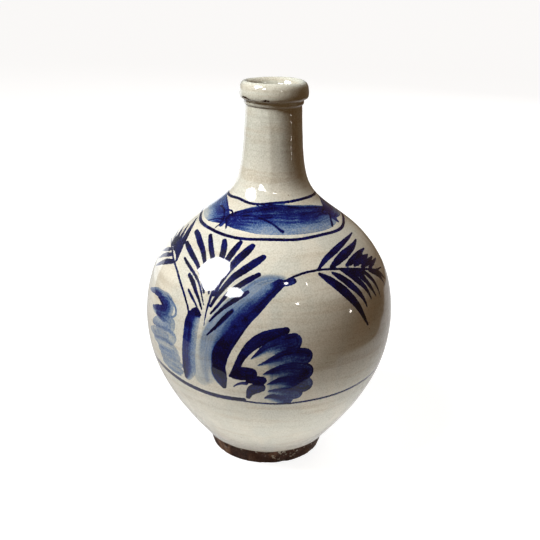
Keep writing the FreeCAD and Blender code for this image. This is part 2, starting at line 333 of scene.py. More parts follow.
# The clouds: one zigzag of broad sweeps, inky at the top and thinner further down.
CLOUDS = [band(points, ink, side, lead, 0.35) for ink, side, lead, points in (
    ((0.7, 0.98), (0.36, 1), 0.4, [
        (-74, 142.6, 2), (-68, 145, 4.5), (-62, 147, 6.5), (-55.5, 145.8, 10.5), (-50.8, 142.3, 14.5),
        (-51.5, 137.7, 13), (-57, 135.2, 9.5), (-62.5, 133.8, 6), (-65, 134, 2.5)]),
    ((0.5, 0.45), (1, 1), 0.5, [
        (-53, 149.2, 1.5), (-48.5, 147, 2), (-44.8, 142.5, 2), (-44.6, 139, 2), (-47.3, 135.8, 1.5)]),
    ((0.95, 0.3), (1, 0.8), 0.9, [
        (-60, 131.8, 3), (-55, 132, 6), (-50, 132.4, 7), (-46.3, 132, 6.5), (-46.4, 128.6, 7),
        (-51, 127.6, 7)]),
    ((0.4, 0.55), (1, 0.7), 0.7, [(-49, 128, 7), (-54, 127.8, 8), (-59, 125.8, 8), (-63, 123.2, 4)]),
    ((0.55, 0.42), (1, 1), 0.5, [(-57, 122.8, 1.5), (-52, 124, 3), (-47, 124.4, 3), (-44, 122.8, 2)]),
    ((0.36, 0.3), (1, 0.8), 0.5, [(-58, 121.5, 6), (-51, 121.5, 9), (-45.3, 120.5, 8), (-47, 117.2, 7)]),
    ((0.36, 0.48), (1, 0.7), 0.7, [(-50, 118.3, 7), (-57, 117.8, 8.5), (-62, 116, 8), (-66.5, 115, 3)]),
    ((0.5, 0.42), (1, 1), 0.5, [(-61.5, 111.6, 1.5), (-56, 114, 3), (-51, 115.3, 3), (-46, 115, 2)]),
    ((0.42, 0.32), (1, 0.8), 0.5, [(-61, 112, 7), (-53, 111.5, 10), (-46, 111.5, 9), (-43.6, 110, 6)]),
    ((0.48, 0.42), (1, 1), 0.5, [(-57, 106.4, 1.5), (-52, 107.6, 2.5), (-47, 107.6, 2)]),
    ((0.44, 0.34), (1, 0.8), 0.5, [(-56.6, 105.5, 6), (-51, 105.5, 10), (-45, 106, 9), (-42.6, 106, 6)]),
    ((0.44, 0.36), (1, 0.8), 0.5, [(-55, 100.5, 6), (-50, 100.5, 9), (-45, 100.5, 9), (-42, 100.5, 6)]),
    ((0.46, 0.38), (1, 0.8), 0.5, [(-54.5, 95.8, 5), (-49.5, 95.5, 8), (-45, 95, 8), (-42, 95, 6)]),
    ((0.44, 0.4), (1, 1), 0.5, [(-51.5, 92.6, 2.5), (-47, 91.9, 3.5), (-43, 91.2, 3)]),
)]

# Thin colour under the strokes.
TRUNK_WASHES = [
    band([(-26, 97, 9), (-26, 110, 14), (-24.5, 125, 19), (-21.5, 140, 18), (-16, 153, 16),
          (-10, 163, 14), (-3, 170.5, 12), (6, 173, 6)], (0.2, 0.46), (1, 1), 0.5, 0.4),
    band([(-29.5, 143, 9), (-29.8, 130, 12), (-30, 118, 13), (-30, 106, 14), (-29.5, 96, 13)],
         (0.04, 0.22), (1, 1), 0.9, 0.5),
]
BUSH_WASH = band([(1, 120, 6), (4.5, 114, 15), (6.5, 104, 20), (6, 94, 20), (4, 87.5, 12)],
                 (0.26, 0.32), (1, 1), 0.01, 0.4)
BAND_WASH = Stroke([(26, 196), (33, 195.5)], 5, LINE, (0.12, 0.1))


def moved(strokes, turn, middle=0, rise=0):
    """Strokes again elsewhere on the vase, mirrored about the upright line at an angle."""
    return [stroke._replace(side=stroke.side[::-1],
                            points=[(turn + middle - angle, height + rise, *width)
                                    for angle, height, *width in stroke.points])
            for stroke in strokes]


FAR = 5.0                # edge distance where no stroke is near


class Paint:
    """Cobalt on the glaze's grid of rows and columns, up to the top of the neck."""
    REACH = 2.5          # how far past a stroke its edge distance is kept
    BUILD_UP = 0.35      # how much colour a stroke adds over one as strong

    def __init__(self):
        shape = (NECK_END + 1, COLUMNS)
        self.edge = np.full(shape, FAR)      # signed distance to the nearest stroke's edge
        self.near_ink = np.zeros(shape)      # that stroke's strength
        self.bare = np.ones(shape)           # what overlapping strokes let through
        self.wash_bare = np.ones(shape)
        self.run = RUN[:NECK_END + 1]
        self.radius = OUTLINE[:NECK_END + 1, 0]

    def path(self, stroke):
        """A stroke's samples: angle, run, half width; and its length."""
        points = np.array([p[:2] for p in stroke.points], float)
        points[:, 1] = run_at(points[:, 1])
        turn = np.interp(points[:, 1], self.run, self.radius) * math.pi / 180
        along = run_of(np.stack([points[:, 0] * turn.mean(), points[:, 1]], axis=1))
        share = np.linspace(0, 1, max(8, int(along[-1] / 1.2)))
        samples = cubic(along, points, share * along[-1])
        if len(stroke.points[0]) > 2:
            widths = np.array([[p[2]] for p in stroke.points], float)
            half = np.maximum(cubic(along, widths, share * along[-1])[:, 0], 0.5) / 2
        else:
            half = np.full(len(share), stroke.width / 2)
        half = half * np.interp(share, *zip(*stroke.taper))
        return samples[:, 0], samples[:, 1], half, along[-1]

    def window(self, angle, run, margin):
        """The grid's rows and columns that a path comes near."""
        rows = np.flatnonzero((self.run > run.min() - margin) & (self.run < run.max() + margin))
        spread = np.degrees(margin / self.radius[rows].min())
        low, high = angle.min() - spread, angle.max() + spread
        if high - low >= 360:
            return rows, np.arange(COLUMNS)
        first = math.floor((low + 180) / 360 * COLUMNS)
        count = math.ceil((high - low) / 360 * COLUMNS) + 1
        return rows, np.arange(first, first + min(count, COLUMNS)) % COLUMNS

    def measure(self, stroke, seed):
        """Over a stroke's window: signed edge distance, and strength of ink."""
        angle, run, half, length = self.path(stroke)
        rows, columns = self.window(angle, run, half.max() + self.REACH)
        x, y = ANGLES[columns][None, :], self.run[rows][:, None]
        turn = (self.radius[rows] * math.pi / 180)[:, None]
        shape = (len(rows), len(columns))
        edge, along = np.full(shape, 1e3), np.zeros(shape)
        across = np.zeros(shape)
        for k in range(len(angle) - 1):
            dx = ((x - angle[k] + 180) % 360 - 180) * turn
            dy = y - run[k]
            ex, ey = (angle[k + 1] - angle[k]) * turn, run[k + 1] - run[k]
            t = np.clip((dx * ex + dy * ey) / (ex * ex + ey * ey), 0, 1)
            width = half[k] + (half[k + 1] - half[k]) * t
            away = np.hypot(dx - t * ex, dy - t * ey)
            nearer = away - width < edge
            edge = np.where(nearer, away - width, edge)
            along = np.where(nearer, (k + t) / (len(angle) - 1), along)
            leftward = np.sign(ex * dy - ey * dx)
            across = np.where(nearer, leftward * away / width, across)
        left, right = stroke.side
        full = smooth(across if left > right else -across, -1.0, 0.35)
        side = min(left, right) + abs(left - right) * full
        start, end = stroke.ink
        ink = start + (end * side - start) * smooth(along, 0, stroke.lead)
        hairs = noise(across * half.max() * 1.1 + 17 * seed, along * length / 16 + 5 * seed)
        ink = ink * (1 - stroke.streak * (0.5 + 0.5 * hairs))
        pooled = 0.16 * np.exp(np.minimum(edge, 0) / 0.5) * (side > 0.4)
        return rows, columns, edge, np.clip(ink + pooled * (1 - ink), 0, 1)

    def brush(self, strokes):
        """Crisp strokes, laid over one another."""
        for seed, stroke in enumerate(strokes):
            rows, columns, edge, ink = self.measure(stroke, seed)
            at = np.ix_(rows, columns)
            cover = np.clip(0.5 - edge / 0.9, 0, 1)
            covered, fresh = 1 - self.bare[at], ink * cover
            over = 1 - self.BUILD_UP * np.minimum(covered, fresh)
            self.bare[at] = (1 - np.maximum(covered, fresh)) * over
            nearer = edge < self.edge[at]
            self.near_ink[at] = np.where(nearer, ink, self.near_ink[at])
            self.edge[at] = np.minimum(self.edge[at], edge)

    def wash(self, strokes):
        """Thin colour that runs out softly at its edges."""
        for seed, stroke in enumerate(strokes):
            rows, columns, edge, ink = self.measure(stroke, seed + 50)
            self.wash_bare[np.ix_(rows, columns)] *= 1 - ink * smooth(-edge, -1.0, 2.5)

    def layers(self):
        """The vertex numbers that the glaze material reads, by name."""
        return {"stroke_edge": self.edge, "stroke_ink": np.maximum(1 - self.bare, self.near_ink),
                "wash": 1 - self.wash_bare}


# How far round the vase the front's motifs are turned to fill the back, and the angles that
# the tree and the cloud are mirrored about.
TREE_TURN, BUSH_TURN, SPRAY_TURN, CLOUD_TURN = -176, -146, 164, 128
TREE_MIDDLE, CLOUD_MIDDLE = -28, -55
BACK_RISE = -2           # the back's spray and cloud hang a little lower


def painting():
    """The whole painting's vertex numbers, front and back."""
    paint = Paint()
    front = FROND + [STALK, LEFT_STEM, RIGHT_STEM] + LEFT_SPRAY + RIGHT_SPRAY + TRUNK + BUSH + CLOUDS
    back = (moved(BUSH, BUSH_TURN) + moved(FROND, TREE_TURN, TREE_MIDDLE)
            + moved(RIGHT_SPRAY + [RIGHT_STEM], SPRAY_TURN, rise=BACK_RISE)
            + moved(CLOUDS, CLOUD_TURN, CLOUD_MIDDLE, BACK_RISE)
            + moved(TRUNK, TREE_TURN, TREE_MIDDLE))
    paint.brush(RINGS + BAND_LEAVES + BAND_LINES + front + back)
    paint.wash(TRUNK_WASHES + [BUSH_WASH, BAND_WASH] + moved([BUSH_WASH], BUSH_TURN)
               + moved(TRUNK_WASHES, TREE_TURN, TREE_MIDDLE))
    return paint.layers()


# ==================================== glaze geometry
GLAZE = 0.6              # thickness of the coat over the clay
BEAD_RUN = 2.2           # how far up from its edge the glaze gathers
DRIP_STAND = 0.32        # how far the run of glaze down the neck stands off
DRIP_HALF_WIDTH = 6      # in degrees
DRIP_FADE = (200, 232)   # heights where the drip is gone and where it is full


def drip(height, angle):
    """A run of glaze down the neck, drifting a little to the right as it falls."""
    middle = -6 + 0.16 * (250 - height) + 3 * noise(height / 14, 31.5)
    across = np.exp(-((angle - middle) / DRIP_HALF_WIDTH) ** 2)
    return DRIP_STAND * across * smooth(height, *DRIP_FADE)


def glaze_relief(run, angle, height):
    """How far the glaze stands off its CAD surface: throwing rings, ripple, drip, edge roll."""
    turn = np.radians(angle)
    body = smooth(run, 4, 20)
    out_of_round = 0.22 * np.cos(2 * turn + 0.7) + 0.12 * np.cos(3 * turn - height / 40)
    tilted = height + 1.6 * np.sin(turn + 1.2)
    rings = 0.10 * noise(tilted / 7.0, 3.5) + 0.05 * noise(tilted / 2.7, 9.5)
    ripple = 0.07 * noise(20 + 6 * np.sin(turn) + height / 21, 20 + 6 * np.cos(turn))
    on_collar = smooth(run, RUN[NECK_END] - 6, RUN[NECK_END])
    stand = (out_of_round + rings * (1 - 0.7 * on_collar) + ripple) * body
    thin = GLAZE * (np.sqrt(np.clip(1 - (1 - run / BEAD_RUN) ** 2, 0, 1)) - 1)
    roll = 0.3 * np.exp(-((run - 2.4) / 1.3) ** 2)
    return stand + drip(height, angle) * (1 - on_collar) + np.where(run < BEAD_RUN, thin, 0) + roll


COLLAR_UNDER = RUN[NECK_END] + 7.5       # run of the rolled mouth's lower edge
# Each chip's angle and run, and its half sizes in degrees and millimetres.
CHIPS = [(-56, COLLAR_UNDER + 0.8, 10, 1.2), (-48, COLLAR_UNDER, 6, 0.9),
         (-13, COLLAR_UNDER + 0.2, 6, 0.8)]
CHIP_DEPTH = 0.5
CHIP_BARE = 0.22         # depth from which a chip shows the clay


def chip_depth(run, angle):
    """How deep the small chips on the underside of the rolled mouth are."""
    depth = np.zeros(np.broadcast(run, angle).shape)
    for at_angle, at_run, wide, tall in CHIPS:
        away = np.hypot((angle - at_angle) / wide, (run - at_run) / tall)
        ragged = 0.25 * noise(angle / 1.7, run / 0.8)
        depth = np.maximum(depth, CHIP_DEPTH * smooth(1.15 - away + ragged, 0, 0.5))
    return depth


def turned(radius, height, angle):
    """Points and outward normals of a surface turned round +Z from its outline's grid."""
    turn = np.radians(angle)
    parts = np.broadcast_arrays(radius * np.sin(turn), -radius * np.cos(turn), height)
    points = np.stack(parts, axis=2)
    up = np.gradient(points, axis=0)
    wrapped = np.concatenate([points[:, -1:], points, points[:, :1]], axis=1)
    normals = np.cross(wrapped[:, 2:] - wrapped[:, :-2], up)
    return points, normals / np.linalg.norm(normals, axis=2)[:, :, None]


def directions(line):
    """The unit step along an outline at each of its points."""
    step = np.gradient(line, axis=0)
    return step / np.linalg.norm(step, axis=1)[:, None]


FOOT_WALL = np.array([-0.31, -0.95])     # direction of the foot's wall, going down
EDGE_DROP = 3.0          # how far down that wall the glaze's wavy edge may reach


def glaze_grid():
    """Points and outward normals of the glaze's surface, row by row."""
    angle = ANGLES[None, :]
    turn = np.radians(angle)
    wave = 0.7 * noise(30 + 3 * np.sin(turn), 40 + 3 * np.cos(turn))
    wave = wave + 0.35 * noise(60 + 11 * np.sin(turn), 70 + 11 * np.cos(turn))
    run = RUN[:, None] - wave * (1 - smooth(RUN, 0, 14))[:, None]
    line = np.concatenate([[OUTLINE[0] + EDGE_DROP * FOOT_WALL], OUTLINE])
    line_run = np.concatenate([[-EDGE_DROP], RUN])
    radius = np.interp(run, line_run, line[:, 0])
    height = np.interp(run, line_run, line[:, 1])
    step = directions(OUTLINE)
    stand = glaze_relief(RUN[:, None], angle, height) - chip_depth(RUN[:, None], angle)
    return turned(radius + step[:, 1:] * stand, height - step[:, :1] * stand, angle)


def shell(name, points, normals, depth, coarse=6, layers=None):
    """A closed turned piece: its outer grid, and a coarser inner grid depth further in."""
    rows, columns = points.shape[:2]
    pick = np.unique(np.round(np.linspace(0, rows - 1, max(2, rows // coarse))).astype(int))
    inner = (points - normals * depth)[pick][:, ::coarse]
    inner_rows, inner_columns = inner.shape[:2]
    base = rows * columns

    def quads(start, across, count, flip):
        r, c = np.mgrid[0:count - 1, 0:across]
        corners = [(r, c), (r, c + 1), (r + 1, c + 1), (r + 1, c)]
        if flip:
            corners.reverse()
        index = np.stack([start + i * across + j % across for i, j in corners], axis=-1)
        grid = [np.stack([k[a] for k in corners], axis=-1).reshape(-1, 4) for a in (1, 0)]
        return index.reshape(-1, 4), *grid

    outer_faces, column, row = quads(0, columns, rows, False)
    size = np.linalg.norm(np.diff(points[:, 0], axis=0), axis=1).sum()
    length = 2 * math.pi * np.hypot(points[:, 0, 0], points[:, 0, 1]).mean()
    strips = max(1, round(math.sqrt(length / size)))
    strip = np.minimum(column.min(axis=1, keepdims=True) * strips // columns, strips - 1)
    wide = columns / strips
    outer_uv = np.stack([0.004 + 0.992 * np.clip((column - strip * wide) / wide, 0, 1),
                         0.05 + 0.95 * (strip + 0.02 + 0.96 * row / (rows - 1)) / strips], axis=-1)
    inner_faces, column, row = quads(base, inner_columns, inner_rows, True)
    inner_uv = np.stack([column / inner_columns, 0.04 * row / inner_rows], axis=-1)

    rims = []
    last_outer, last_inner = (rows - 1) * columns, base + (inner_rows - 1) * inner_columns
    for j in range(inner_columns):
        here, there = j, (j + 1) % inner_columns
        edge = [(j * coarse + k) % columns for k in range(coarse + 1)]
        rims.append(edge[::-1] + [base + here, base + there])
        rims.append([last_outer + k for k in edge] + [last_inner + there, last_inner + here])
    rim_uv = np.tile([0.5, 0.045], (sum(len(r) for r in rims), 1))

    mesh = bpy.data.meshes.new(name)
    verts = np.concatenate([points.reshape(-1, 3), inner.reshape(-1, 3)]) * MM
    mesh.from_pydata(verts, [], outer_faces.tolist() + inner_faces.tolist() + rims)
    uv = mesh.uv_layers.new(name="OFBake")
    uv.data.foreach_set("uv", np.concatenate([outer_uv.reshape(-1, 2), inner_uv.reshape(-1, 2),
                                              rim_uv]).astype(np.float32).ravel())
    for layer, values in (layers or {}).items():
        attribute = mesh.attributes.new(layer, "FLOAT", "POINT")
        rest = FAR if layer == "stroke_edge" else 0.0
        full = np.concatenate([values.ravel(), np.full(len(inner.reshape(-1, 3)), rest)])
        attribute.data.foreach_set("value", full.astype(np.float32))
    mesh.shade_smooth()
    inward = -normals[pick][:, ::coarse].reshape(-1, 3)
    mesh.normals_split_custom_set_from_vertices(
        np.concatenate([normals.reshape(-1, 3), inward]))
    return link(name, mesh)


def place(piece, slot, *nodes):
    """Every piece rides on the vase's one body, and hides the CAD nodes that it takes the place of."""
    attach(piece, "root")
    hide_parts(*nodes)
    return piece


# ========================================= materials
class Shader:
    """A material's nodes, written as calls. Textures follow the object in metres."""

    def __init__(self, name):
        self.material = bpy.data.materials.new(name)
        self.material.use_nodes = True
        self.tree = self.material.node_tree
        self.surface = self.tree.nodes["Principled BSDF"]
        self.place = self.tree.nodes.new("ShaderNodeTexCoord").outputs["Object"]

    def put(self, socket, value):
        """Link a socket to another one, or set its value."""
        if isinstance(value, bpy.types.NodeSocket):
            self.tree.links.new(value, socket)
        else:
            socket.default_value = value

    def add(self, kind, inputs, **settings):
        """A node of a kind, its inputs by name or number, and its settings."""
        node = self.tree.nodes.new("ShaderNode" + kind)
        for name, value in settings.items():
            setattr(node, name, value)
        for key, value in inputs.items():
            self.put(node.inputs[key], value)
        return node

    def finish_as(self, **inputs):
        """The principled surface's own sockets, by name with _ for spaces."""
        for name, value in inputs.items():
            self.put(self.surface.inputs[name.replace("_", " ")], value)
        return self.material

    def number(self, name):
        """One of the painting's vertex numbers."""
        return self.add("Attribute", {}, attribute_name=name).outputs["Fac"]

    def height(self):
        return self.add("SeparateXYZ", {"Vector": self.place}).outputs["Z"]

    def radius(self):
        """Distance from the vase's axis."""
        return self.add("VectorMath", {0: self.scaled(1, 1, 0)}, operation="LENGTH").outputs["Value"]

    def scaled(self, x, y, z):
        return self.add("Mapping", {"Vector": self.place, "Scale": (x, y, z)}).outputs[0]

    def grain(self, scale, detail=2.0, vector=None, distortion=0.0):
        """Fractal noise from 0 to 1, with features about 1 / scale metres wide."""
        inputs = {"Vector": vector or self.place, "Scale": scale, "Detail": detail,
                  "Distortion": distortion}
        return self.add("TexNoise", inputs).outputs[0]

    def math(self, operation, a, b=0.0, clamp=False):
        return self.add("Math", {0: a, 1: b}, operation=operation, use_clamp=clamp).outputs[0]

    def times(self, a, b, clamp=False):
        return self.math("MULTIPLY", a, b, clamp)

    def rest(self, value, clamp=False):
        """What value leaves of one."""
        return self.math("SUBTRACT", 1.0, value, clamp)

    def ease(self, value, low, high, out_low=0.0, out_high=1.0):
        """value from low to high, eased on to out_low to out_high."""
        inputs = {"Value": value, "From Min": low, "From Max": high, "To Min": out_low,
                  "To Max": out_high}
        return self.add("MapRange", inputs, interpolation_type="SMOOTHSTEP").outputs[0]

    def ramp(self, value, stops):
        node = self.add("ValToRGB", {"Fac": value})
        elements = node.color_ramp.elements
        while len(elements) < len(stops):
            elements.new(1.0)
        for element, (position, colour) in zip(elements, stops):
            element.position = position
            element.color = (*colour, 1)
        return node.outputs[0]

    def mix(self, factor, a, b, blend="MIX"):
        node = self.add("Mix", {"Factor": factor}, data_type="RGBA", blend_type=blend)
        for key, colour in (("A_Color", a), ("B_Color", b)):
            socket = next(s for s in node.inputs if s.identifier == key)
            self.put(socket, colour if isinstance(colour, bpy.types.NodeSocket) else (*colour, 1))
        return next(s for s in node.outputs if s.identifier == "Result_Color")

    def tint(self, colour, tone, share, value, low, high):
        """A colour with up to a share of a tone in it, where value eases from low to high."""
        return self.mix(self.ease(value, low, high, 0, share), colour, tone)

    def bump(self, height, depth):
        """A normal from a height of 0 to 1, depth millimetres from one to the other."""
        return self.add("Bump", {"Height": height, "Distance": depth * MM}).outputs[0]


CREAM = (0.63, 0.61, 0.51)
GREEN_GREY = (0.56, 0.57, 0.48)
WARM_CREAM = (0.67, 0.62, 0.49)
SPECK = (0.20, 0.13, 0.08)
INSIDE_GLAZE_AND_SHADE = (0.26, 0.24, 0.17)      # a dark tone inside: the lining's own duller glaze, partly painted shade of the hollow, and painted shade in the mouth
COBALT = (                           # what each strength of ink leaves of the glaze's colour
    (0.0, (1.0, 1.0, 1.0)), (0.12, (0.71, 0.77, 0.85)), (0.25, (0.43, 0.52, 0.70)),
    (0.38, (0.22, 0.34, 0.63)), (0.55, (0.055, 0.125, 0.40)), (0.72, (0.007, 0.018, 0.24)),
    (0.88, (0.0012, 0.0025, 0.10)), (1.0, (0.0005, 0.001, 0.035)))


GREYER_FROM, GREYER_TO = 205, 295    # heights between which the glaze turns greyer
BORE = OUTLINE[-1, 0]                # radius where the outer glaze ends, inside the mouth


def glaze_ground(shader):
    """The glaze's own colour: cloudy cream, fine rings, crazing and iron specks."""
    cloud = shader.grain(16, 3, distortion=0.4)
    colour = shader.ramp(cloud, [(0.3, GREEN_GREY), (0.5, CREAM), (0.72, WARM_CREAM)])
    rings = shader.grain(1, 3, shader.scaled(9, 9, 230))
    colour = shader.tint(colour, (0.44, 0.40, 0.30), 0.5, rings, 0.5, 0.72)
    colour = shader.tint(colour, (0.50, 0.54, 0.47), 0.6, shader.height(),
                         GREYER_FROM * MM, GREYER_TO * MM)
    thick = shader.grain(1, 2, shader.scaled(34, 34, 9), distortion=0.6)
    colour = shader.tint(colour, (0.49, 0.52, 0.46), 0.55, thick, 0.42, 0.62)
    smears = shader.grain(1, 3, shader.scaled(14, 14, 170), distortion=0.3)
    colour = shader.tint(colour, (0.42, 0.34, 0.22), 0.4, smears, 0.5, 0.68)
    powder = shader.grain(950, 3)
    colour = shader.tint(colour, (0.80, 0.78, 0.70), 0.4, powder, 0.35, 0.7)
    colour = shader.tint(colour, (0.40, 0.36, 0.28), 0.25, powder, 0.5, 0.3)
    cells = shader.add("TexVoronoi", {"Vector": shader.place, "Scale": 210.0},
                       feature="DISTANCE_TO_EDGE").outputs["Distance"]
    crazing = shader.ease(cells, 0.0, 0.045, 0.16, 0)
    colour = shader.mix(crazing, colour, (0.30, 0.27, 0.21))
    dots = shader.add("TexVoronoi", {"Vector": shader.place, "Scale": 165.0}, feature="F1")
    rare = shader.ease(shader.grain(90, 1), 0.60, 0.66)
    spot = shader.times(shader.ease(dots.outputs["Distance"], 0.05, 0.13, 0.75, 0), rare)
    return shader.mix(spot, colour, SPECK)


def painted_glaze():
    """The outer glaze: its ground, multiplied by what the strokes and washes leave of it."""
    shader = Shader("painted_glaze")
    ground = glaze_ground(shader)
    # Painted shade: the glaze darkens towards the bore, inside the mouth.
    ground = shader.tint(ground, INSIDE_GLAZE_AND_SHADE, 0.6, shader.radius(), (BORE + 3.5) * MM, (BORE - 0.5) * MM)
    ragged = shader.math("SUBTRACT", shader.grain(700, 3), 0.5)
    edge = shader.math("ADD", shader.number("stroke_edge"), shader.times(ragged, 0.9))
    inside = shader.ease(edge, 0.14, -0.16)
    granules = shader.ease(shader.grain(1100, 2), 0.25, 0.75, 0.80, 1.06)
    drift = shader.ease(shader.grain(120, 3), 0.3, 0.75, 0.93, 1.10)
    flecks = shader.ease(shader.grain(1300, 2), 0.25, 0.6, 0.90, 1.05)
    stroke = shader.times(shader.number("stroke_ink"), inside)
    stroke = shader.times(shader.times(stroke, drift), flecks, True)
    # Where the cobalt is thin it lies in grains: the thinner, the more the glaze shows through.
    grains = shader.ease(shader.grain(850, 4), 0.4, 0.62, 0.5, 0)
    gaps = shader.times(shader.rest(stroke), grains)
    stroke = shader.times(stroke, shader.rest(gaps))
    wash = shader.times(shader.number("wash"), granules)
    ink = shader.rest(shader.times(shader.rest(stroke, True), shader.rest(wash, True)), True)
    colour = shader.mix(1.0, ground, shader.ramp(ink, COBALT), "MULTIPLY")
    peel = shader.grain(260, 2)
    pits = shader.ease(shader.grain(620, 1), 0.72, 0.8)
    height = shader.math("SUBTRACT", peel, shader.times(pits, 0.8))
    return shader.finish_as(
        Base_Color=colour,
        Roughness=shader.ease(shader.grain(60, 3), 0.3, 0.7, 0.22, 0.38),
        Normal=shader.bump(height, 0.08),
        Specular_IOR_Level=0.05,
        Coat_Weight=1.0,
        Coat_Roughness=0.03)


def plain_glaze():
    """The lining: a duller glaze with runs in it, darker partly by its own tone and partly as painted
    shade of the hollow.
    """
    shader = Shader("inner_glaze")
    colour = shader.mix(0.6, glaze_ground(shader), INSIDE_GLAZE_AND_SHADE)
    runs = shader.grain(1, 3, shader.scaled(160, 160, 14))
    colour = shader.tint(colour, (0.33, 0.32, 0.25), 0.4, runs, 0.5, 0.75)
    return shader.finish_as(
        Base_Color=colour,
        Roughness=shader.ease(shader.grain(80, 3), 0.3, 0.7, 0.25, 0.42),
        Normal=shader.bump(shader.grain(240, 2), 0.05),
        IOR=1.5,
        Coat_Weight=0.5,
        Coat_Roughness=0.08)


def fired_clay(name, dark, middle, light):
    """Bare iron-rich clay: scorched patches, turning lines, grit and pale ash."""
    shader = Shader(name)
    patches = shader.grain(1, 4, shader.scaled(85, 85, 16), distortion=0.8)
    colour = shader.ramp(patches, [(0.30, dark), (0.44, middle), (0.52, middle), (0.69, light)])
    turning = shader.grain(1, 3, shader.scaled(30, 30, 900))
    colour = shader.tint(colour, dark, 0.45, turning, 0.45, 0.7)
    grit = shader.grain(1300, 3)
    colour = shader.tint(colour, light, 0.6, grit, 0.55, 0.72)
    ash = shader.times(shader.ease(shader.grain(330, 4), 0.56, 0.66),
                       shader.ease(shader.grain(55, 2), 0.48, 0.58))
    colour = shader.mix(ash, colour, (0.52, 0.50, 0.42))
    holes = shader.ease(shader.grain(420, 2), 0.30, 0.38, 0, 1)
    height = shader.times(shader.math("ADD", grit, shader.grain(160, 4)), holes)
    return shader.finish_as(
        Base_Color=colour,
        Roughness=shader.ease(shader.grain(90, 3), 0.3, 0.7, 0.55, 0.85),
        Normal=shader.bump(height, 0.35),
        Specular_IOR_Level=0.2)


# ============================================ pieces
GLAZE_STRETCHES = (("glaze_lower", 78), ("glaze_belly", 132), ("glaze_shoulder", 178),
                   ("glaze_upper", 222))        # each piece, and the height of its top
NECK_STEP = 3            # the unpainted neck and collar keep one column in this many
SHELL_DEPTH = 0.55       # how thick the glaze pieces are


def glaze_pieces(glaze, clay):
    """The outer glaze in stretches fine enough to hold the painting, and no finer."""
    layers = painting()
    points, normals = glaze_grid()

    def stretch(name, rows, step):
        at = (rows, slice(None, None, step))
        painted = {key: values[at] for key, values in layers.items()}
        piece = shell(name, points[at], normals[at], SHELL_DEPTH, layers=painted)
        piece.data.materials.append(glaze)
        return place(piece, "painted_glaze", "outer_glaze")

    first = 0
    for name, top in GLAZE_STRETCHES:
        last = row_at(top)
        stretch(name, slice(first, last + 1), 1)
        first = last
    stretch("glaze_neck", slice(first, NECK_END + 1), NECK_STEP)

    at = (slice(NECK_END, None), slice(None, None, NECK_STEP))
    blank = np.zeros(points[at].shape[:2])
    collar = shell("glaze_collar", points[at], normals[at], SHELL_DEPTH,
                   layers={"stroke_edge": blank + FAR, "stroke_ink": blank, "wash": blank})
    collar.data.materials.append(glaze)
    collar.data.materials.append(clay)
    depth = chip_depth(RUN[at[0]][:, None], ANGLES[at[1]][None, :])
    chipped = depth[:-1].ravel() > CHIP_BARE
    for k in np.flatnonzero(chipped):
        collar.data.polygons[int(k)].material_index = 1
    place(collar, "painted_glaze", "outer_glaze")


def along_chords(points, spacing):
    """Evenly spaced points along a line of straight chords."""
    run = run_of(points)
    at = np.linspace(0, run[-1], int(run[-1] / spacing) + 1)
    return np.stack([np.interp(at, run, points[:, k]) for k in (0, 1)], axis=1)


FOOT_COLUMNS = 720
FOOT_DEPTH = 1.2
NOISE_RADIUS = 45        # about the foot's own, so that its lumps are as wide as they are tall


def foot_piece(clay):
    """The bare foot, as rough as scraped clay: its inner wall, tread and outer wall."""
    ring = section("foot_ring", lambda r, z: r + z, lambda r, z: -z)
    inner_top = int(np.flatnonzero(ring[:, 0] < ring[:, 0].min() + 0.01)[-1])
    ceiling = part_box("lower_body")[0].z / MM
    under_glaze = OUTLINE[4] - (GLAZE, 0)
    line = np.concatenate([[(ring[inner_top, 0], ceiling)], ring[inner_top::-1],
                           [OUTLINE[0] - (GLAZE, 0)], [under_glaze]])
    line = along_chords(line, 0.45)
    run = run_of(line)[:, None]
    angle = (np.arange(FOOT_COLUMNS) * 360 / FOOT_COLUMNS - 180)[None, :]
    turn = np.radians(angle)
    x, y = NOISE_RADIUS * np.sin(turn), NOISE_RADIUS * np.cos(turn)
    lumps = 0.28 * noise(100 + x / 7, y / 7 + run / 5) + 0.14 * noise(50 + x / 2.3, y / 2.3 + run / 3)
    scrape = 0.10 * noise(run / 1.1, angle / 40) + 0.05 * noise(x / 0.9, y / 0.9 + run / 0.8)
    bare = smooth(run[-1] - run, 3.5, 5.5)
    stand = np.minimum(lumps + scrape, 0.12) * bare
    step = directions(line)
    radius = line[:, :1] + step[:, 1:] * stand
    height = np.maximum(line[:, 1:] - step[:, :1] * stand, 0.0)
    piece = shell("foot", *turned(radius, height, angle), FOOT_DEPTH)
    piece.data.materials.append(clay)
    place(piece, "stoneware_clay", "foot_ring", "foot_slip")


LINING_COLUMNS = 180
LINING_DEPTH = 0.3


def lining_piece(glaze):
    """The inner glaze, from the bore down over the whole hollow."""
    line = section("inner_glaze", lambda r, z: z - 10 * r, lambda r, z: -z)
    line = along_chords(np.concatenate([line, [(0.05, line[-1, 1])]]), 2.5)
    angle = (np.arange(LINING_COLUMNS) * 360 / LINING_COLUMNS - 180)[None, :]
    piece = shell("lining", *turned(line[:, :1], line[:, 1:], angle), LINING_DEPTH)
    piece.data.materials.append(glaze)
    place(piece, "inner_glaze", "inner_glaze")


def finish_cad_nodes(clay, slip):
    """The clay under the glaze keeps its CAD shapes, and gets the clay's own finish."""
    for name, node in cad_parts.items():
        node.data.materials.clear()
        node.data.materials.append(slip if name.endswith("_slip") else clay)


# ============================================= stage
FLOOR_RADIUS = 3.0
SWEEP = 1.6              # radius of the backdrop's curve
WALL_TOP = 5.0
FLOOR_SIDES = 96
FLOOR_GLOW = 0.9


